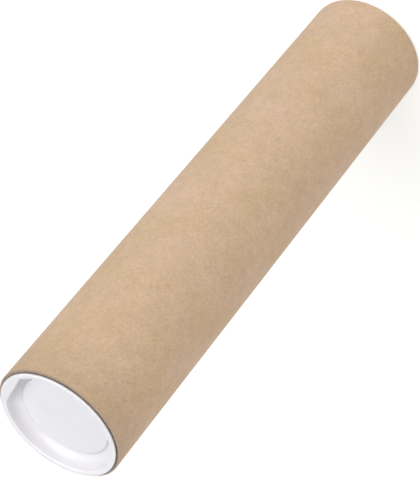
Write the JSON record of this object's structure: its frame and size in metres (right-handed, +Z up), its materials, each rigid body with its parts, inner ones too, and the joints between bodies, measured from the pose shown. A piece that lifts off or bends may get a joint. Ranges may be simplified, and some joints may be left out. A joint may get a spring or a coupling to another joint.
{
  "type": "cardboard mailing tube",
  "caption": "Plain kraft paper mailing tube standing on end, closed at both ends by push-in plastic caps with a shallow round recess.",
  "frame": {"origin": "on the tube's axis, at the face of the lower cap that it stands on", "axes": "+Z up along the tube's axis, from the lower cap to the upper cap; +X radial, to the side of the flat in each cap's recess; Y completes the frame"},
  "size_m": [0.055, 0.055, 0.2568],
  "materials": {
    "kraft_paper_tube": "matt unbleached kraft paper, spiral-wound",
    "white_plastic_cap": "moulded low-density polyethylene, satin white"
  },
  "bodies": {
    "bottom_cap": {"bottom_cap": "white_plastic_cap"},
    "tube": {"tube": "kraft_paper_tube"},
    "top_cap": {"top_cap": "white_plastic_cap"}
  },
  "joints": [
    {"name": "bottom_cap_pull", "type": "slide", "parent": "bottom_cap", "child": "tube", "axis": [0, 0, 1], "range_m": [0, 0.06]},
    {"name": "top_cap_pull", "type": "slide", "parent": "tube", "child": "top_cap", "axis": [0, 0, 1], "range_m": [0, 0.06]}
  ]
}
